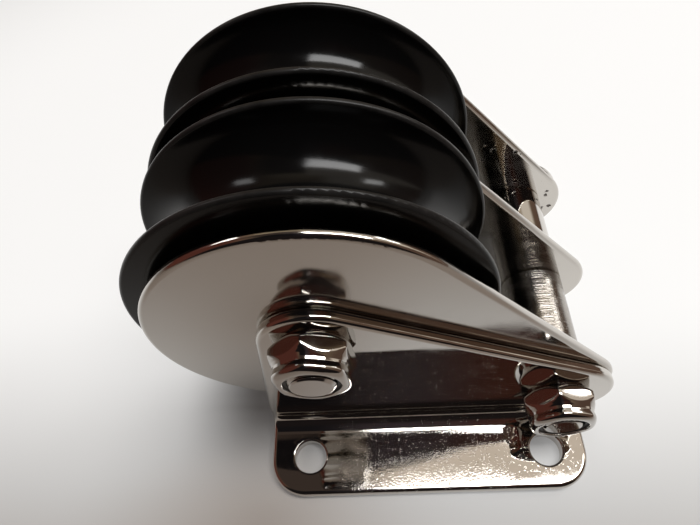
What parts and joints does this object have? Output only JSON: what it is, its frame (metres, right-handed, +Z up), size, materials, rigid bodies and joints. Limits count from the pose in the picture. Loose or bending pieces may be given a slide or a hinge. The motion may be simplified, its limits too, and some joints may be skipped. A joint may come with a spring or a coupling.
{
  "type": "double foot block",
  "caption": "Standing foot block: grooved rope sheaves side by side on one axle bolt between teardrop cheek plates, on angle brackets with screw holes for a deck.",
  "frame": {"origin": "middle of the four foot holes, on the plane that the undersides of the feet stand on", "axes": "+Z is up, off the deck. +X runs along the feet from the axle to the tail bolt. The front bracket, which carries the nuts, is on the -Y side, and the sheaves turn about Y"},
  "size_m": [0.1082, 0.104, 0.0857],
  "materials": {
    "polished_plate": "mirror-polished stainless steel plate",
    "turned_steel": "fine-turned stainless steel tube",
    "bolt_steel": "bright stainless steel",
    "sheave_plastic": "black acetal, satin gloss",
    "bearing_bronze": "plain bearing bronze",
    "washer_plastic": "natural nylon",
    "nylon_ring": "dark nylon"
  },
  "bodies": {
    "frame": {"front_bracket": "polished_plate", "rear_bracket": "polished_plate", "front_cheek": "polished_plate", "centre_cheek": "polished_plate", "rear_cheek": "polished_plate", "front_sleeve": "turned_steel", "rear_sleeve": "turned_steel", "front_sheave_front_washer": "washer_plastic", "front_sheave_rear_washer": "washer_plastic", "rear_sheave_front_washer": "washer_plastic", "rear_sheave_rear_washer": "washer_plastic", "front_spacer": "turned_steel", "rear_spacer": "turned_steel", "axle_bolt": "bolt_steel", "tail_bolt": "bolt_steel", "axle_nut": "bolt_steel", "tail_nut": "bolt_steel", "axle_nut_insert": "nylon_ring", "tail_nut_insert": "nylon_ring"},
    "front_sheave": {"front_sheave": "sheave_plastic", "front_bush": "bearing_bronze"},
    "rear_sheave": {"rear_sheave": "sheave_plastic", "rear_bush": "bearing_bronze"}
  },
  "joints": [
    {"name": "front_sheave_spin", "type": "hinge", "parent": "frame", "child": "front_sheave", "pos_m": [-0.0245, -0.0143, 0.0476], "axis": [0, 1, 0], "continuous": true},
    {"name": "rear_sheave_spin", "type": "hinge", "parent": "frame", "child": "rear_sheave", "pos_m": [-0.0245, 0.0143, 0.0476], "axis": [0, 1, 0], "continuous": true}
  ]
}
